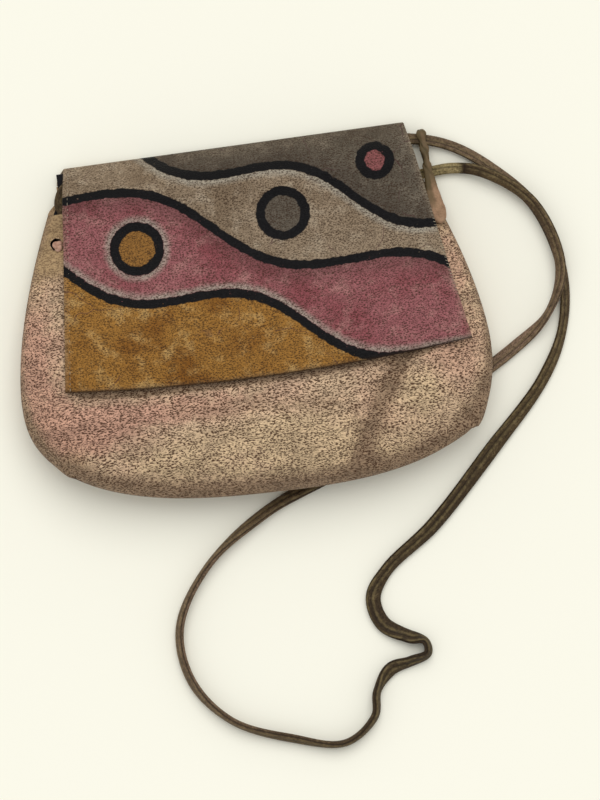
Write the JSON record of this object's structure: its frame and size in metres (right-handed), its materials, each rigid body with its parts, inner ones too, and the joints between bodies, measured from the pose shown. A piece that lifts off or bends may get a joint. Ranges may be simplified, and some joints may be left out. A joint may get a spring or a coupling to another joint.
{
  "type": "crossbody bag",
  "caption": "Small soft leather pouch lying on its back, with a painted flap over its mouth, fabric lining and one long folded leather strap.",
  "frame": {"origin": "under the middle of the bag, on the surface that it lies on", "axes": "+X across the bag to its right, +Y up the bag from its bottom to the flap's fold, +Z out of its front"},
  "size_m": [0.2971, 0.3249, 0.0495],
  "materials": {
    "pouch_leather": "soft open-pored leather, dyed by hand, satin",
    "lining_fabric": "plain black lining, matte",
    "strap_leather": "folded olive-brown leather, satin",
    "knot_leather": "soft leather end, matte",
    "tab_leather": "soft open-pored leather, satin",
    "flap_leather": "stiffened painted leather, satin",
    "ink_paint": "black leather paint, satin",
    "ochre_paint": "mustard leather paint, worn",
    "rose_paint": "rose leather paint, worn",
    "stone_paint": "grey-beige leather paint, worn",
    "slate_paint": "dark grey leather paint, worn"
  },
  "bodies": {
    "pouch": {"back_panel": "pouch_leather", "lining_back": "lining_fabric", "front_panel": "pouch_leather", "lining_front": "lining_fabric", "strap": "strap_leather", "strap_knot_left": "knot_leather", "strap_tab_right": "tab_leather"},
    "flap": {"flap_leather": "flap_leather", "flap_lining": "lining_fabric", "paint_ink_wave_lower": "ink_paint", "paint_ink_wave_middle": "ink_paint", "paint_ink_wave_upper": "ink_paint", "paint_field_ochre": "ochre_paint", "paint_field_rose": "rose_paint", "paint_field_stone": "stone_paint", "paint_field_slate": "slate_paint", "paint_ink_ring_left": "ink_paint", "paint_disc_left": "ochre_paint", "paint_ink_ring_middle": "ink_paint", "paint_disc_middle": "slate_paint", "paint_ink_ring_right": "ink_paint", "paint_disc_right": "rose_paint"}
  },
  "joints": [
    {"name": "flap_hinge", "type": "hinge", "parent": "pouch", "child": "flap", "pos_m": [0, 0.0918, 0.0052], "axis": [-1, 0, 0], "range_deg": [0, 140]}
  ]
}
